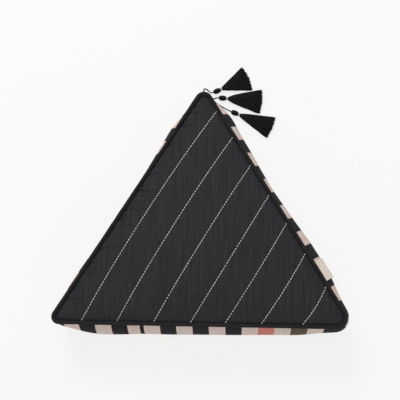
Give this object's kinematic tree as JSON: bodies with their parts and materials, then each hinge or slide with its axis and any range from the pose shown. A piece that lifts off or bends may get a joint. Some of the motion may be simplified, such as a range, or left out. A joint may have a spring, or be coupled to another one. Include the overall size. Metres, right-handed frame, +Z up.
{
  "type": "triangular boxed cushion with tassels",
  "caption": "Filled triangular cushion lying on its back, with piped seams, a striped side band, sewn rows across its front, a plain side tab and tassels at its apex.",
  "frame": {"origin": "middle of the flat back on which the cushion lies, under the incentre of its panel", "axes": "+Z up out of the front face, +X along the base side, +Y towards the apex"},
  "size_m": [0.5532, 0.5449, 0.1265],
  "materials": {
    "cover": "plain-weave charcoal canvas, with a block-striped side band",
    "piping": "black canvas cut on the bias over a cord",
    "tab": "beige woven tape, folded, unprinted",
    "yarn": "black twisted cotton yarn",
    "binding": "pale wound thread"
  },
  "bodies": {
    "root": {"cushion_body": "cover", "front_piping": "piping", "back_piping": "piping", "side_tab": "tab", "tassel_upper_cord": "yarn", "tassel_upper_head": "yarn", "tassel_upper_neck": "binding", "tassel_upper_skirt": "yarn", "tassel_middle_cord": "yarn", "tassel_middle_head": "yarn", "tassel_middle_neck": "binding", "tassel_middle_skirt": "yarn", "tassel_lower_cord": "yarn", "tassel_lower_head": "yarn", "tassel_lower_neck": "binding", "tassel_lower_skirt": "yarn"}
  },
  "joints": []
}
